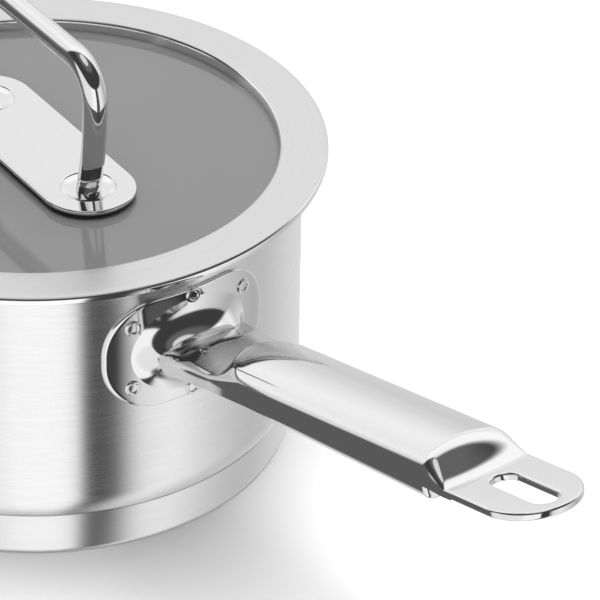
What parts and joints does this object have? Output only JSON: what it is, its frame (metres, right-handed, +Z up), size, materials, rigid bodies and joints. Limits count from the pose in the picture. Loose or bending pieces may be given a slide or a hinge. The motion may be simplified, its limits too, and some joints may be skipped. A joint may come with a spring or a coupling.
{
  "type": "saucepan with glass lid",
  "caption": "Straight-sided steel saucepan with capsule base, long hollow handle with hanging slot, and a lift-off glass lid with arched rod handle.",
  "frame": {"origin": "on the pan's axis, in the plane of its underside", "axes": "+Z up along the pan's axis, +X along the handle, +Y to the left of someone who looks along the handle from the pan"},
  "size_m": [0.3357, 0.1754, 0.1419],
  "materials": {
    "satin_steel": "satin brushed stainless steel",
    "polished_steel": "mirror polished stainless steel",
    "plain_steel": "plain stainless steel fastener",
    "aluminium_core": "as cast",
    "tinted_glass": "grey tempered glass, polished",
    "silicone": "matt silicone"
  },
  "bodies": {
    "saucepan": {"pan_body": "satin_steel", "base_core": "aluminium_core", "base_cap": "satin_steel", "handle_bracket": "polished_steel", "handle_upper_shell": "polished_steel", "handle_lower_shell": "polished_steel"},
    "lid": {"lid_ring": "satin_steel", "lid_skirt": "satin_steel", "lid_handle_plate": "polished_steel", "lid_handle_rod": "polished_steel", "lid_washer_front": "plain_steel", "lid_washer_rear": "plain_steel", "lid_screw_front": "plain_steel", "lid_screw_rear": "plain_steel", "lid_gasket": "silicone", "lid_seal_upper_front": "silicone", "lid_seal_upper_rear": "silicone", "lid_seal_lower_front": "silicone", "lid_seal_lower_rear": "silicone", "lid_glass": "tinted_glass"}
  },
  "joints": [
    {"name": "lid_lift", "type": "slide", "parent": "saucepan", "child": "lid", "axis": [0, 0, 1], "range_m": [0, 0.15]}
  ]
}
